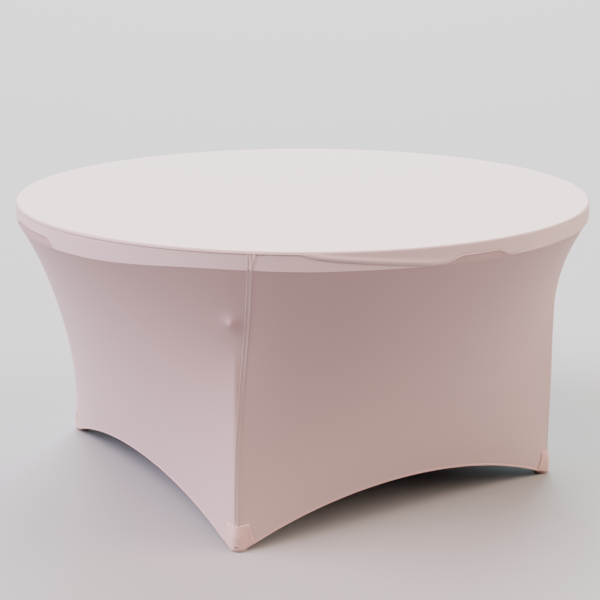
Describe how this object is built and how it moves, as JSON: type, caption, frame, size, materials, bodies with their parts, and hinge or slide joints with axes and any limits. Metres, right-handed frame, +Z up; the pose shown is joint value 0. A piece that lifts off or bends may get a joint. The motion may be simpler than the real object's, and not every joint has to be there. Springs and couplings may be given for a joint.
{
  "type": "fitted stretch tablecloth on a round folding table",
  "caption": "Round folding banquet table in a fitted stretch-cloth cover, with arched hems, corner seams and a pocket round each foot, over folding tube leg frames with jointed braces.",
  "frame": {"origin": "on the floor, under the centre of the round top", "axes": "+Z up; X along the leg frames' hinge tubes; frame A and the pictured front corner on the -Y side"},
  "size_m": [1.5254, 1.5254, 0.75],
  "materials": {
    "cover_cloth": "smooth stretch knit, slight sheen",
    "hem_cloth": "rolled stretch hem",
    "seam_thread": "overlocked seam",
    "pocket_cloth": "double-layer stretch cloth",
    "table_plastic": "fine pebbled moulding",
    "frame_steel": "grey powder coat",
    "link_steel": "zinc plated",
    "rivet_steel": "zinc plated",
    "foot_plastic": "black moulded plastic"
  },
  "bodies": {
    "table": {"tabletop": "table_plastic", "tabletop_rim": "table_plastic", "rails": "frame_steel", "brace_beams": "frame_steel", "rail_screws": "rivet_steel", "hinge_straps_a": "frame_steel", "hinge_straps_b": "frame_steel", "strap_screws": "rivet_steel", "brace_bracket_a": "frame_steel", "brace_bracket_b": "frame_steel", "pivot_rivets_a": "rivet_steel", "pivot_rivets_b": "rivet_steel"},
    "leg_frame_a": {"hinge_tube_a": "frame_steel", "post_a_left": "frame_steel", "post_a_right": "frame_steel", "crossbar_a": "frame_steel", "bar_caps_a": "foot_plastic", "foot_a_left": "foot_plastic", "foot_a_right": "foot_plastic"},
    "leg_frame_b": {"hinge_tube_b": "frame_steel", "post_b_left": "frame_steel", "post_b_right": "frame_steel", "crossbar_b": "frame_steel", "bar_caps_b": "foot_plastic", "foot_b_left": "foot_plastic", "foot_b_right": "foot_plastic"},
    "upper_link_a": {"brace_a_upper": "link_steel", "elbow_rivets_a": "rivet_steel"},
    "lower_link_a": {"brace_a_lower": "link_steel"},
    "upper_link_b": {"brace_b_upper": "link_steel", "elbow_rivets_b": "rivet_steel"},
    "lower_link_b": {"brace_b_lower": "link_steel"},
    "cover": {"cover_top": "cover_cloth", "rim_seam": "seam_thread", "skirt_front": "cover_cloth", "hem_front": "hem_cloth", "skirt_right": "cover_cloth", "hem_right": "hem_cloth", "skirt_back": "cover_cloth", "hem_back": "hem_cloth", "skirt_left": "cover_cloth", "hem_left": "hem_cloth", "seam_front_left": "seam_thread", "pocket_front_left": "pocket_cloth", "seam_front_right": "seam_thread", "pocket_front_right": "pocket_cloth", "seam_back_right": "seam_thread", "pocket_back_right": "pocket_cloth", "seam_back_left": "seam_thread", "pocket_back_left": "pocket_cloth"}
  },
  "joints": [
    {"name": "leg_a_fold", "type": "hinge", "parent": "table", "child": "leg_frame_a", "pos_m": [0, -0.4805, 0.6996], "axis": [1, 0, 0], "range_deg": [0, 90]},
    {"name": "leg_b_fold", "type": "hinge", "parent": "table", "child": "leg_frame_b", "pos_m": [0, 0.4805, 0.6676], "axis": [-1, 0, 0], "range_deg": [0, 86]},
    {"name": "upper_link_a_turn", "type": "hinge", "parent": "table", "child": "upper_link_a", "pos_m": [0, -0.1205, 0.6996], "axis": [1, 0, 0], "range_deg": [0, 158.81]},
    {"name": "lower_link_a_turn", "type": "hinge", "parent": "leg_frame_a", "child": "lower_link_a", "pos_m": [0, -0.4805, 0.56], "axis": [1, 0, 0], "range_deg": [-111.2, 0]},
    {"name": "upper_link_b_turn", "type": "hinge", "parent": "table", "child": "upper_link_b", "pos_m": [0, 0.1205, 0.6676], "axis": [-1, 0, 0], "range_deg": [0, 165.07]},
    {"name": "lower_link_b_turn", "type": "hinge", "parent": "leg_frame_b", "child": "lower_link_b", "pos_m": [0, 0.4805, 0.56], "axis": [-1, 0, 0], "range_deg": [-100.94, 0]},
    {"name": "cover_lift", "type": "slide", "parent": "table", "child": "cover", "axis": [0, 0, 1], "range_m": [0, 0.8], "deforming": ["skirt_front", "hem_front", "skirt_right", "hem_right", "skirt_back", "hem_back", "skirt_left", "hem_left", "seam_front_left", "pocket_front_left", "seam_front_right", "pocket_front_right", "seam_back_right", "pocket_back_right", "seam_back_left", "pocket_back_left"]}
  ],
  "couplings": [
    {"joint": "upper_link_a_turn", "follows": "leg_a_fold", "ratio": 1.7645},
    {"joint": "lower_link_a_turn", "follows": "leg_a_fold", "ratio": -1.2355},
    {"joint": "upper_link_b_turn", "follows": "leg_b_fold", "ratio": 1.9193},
    {"joint": "lower_link_b_turn", "follows": "leg_b_fold", "ratio": -1.1737}
  ]
}
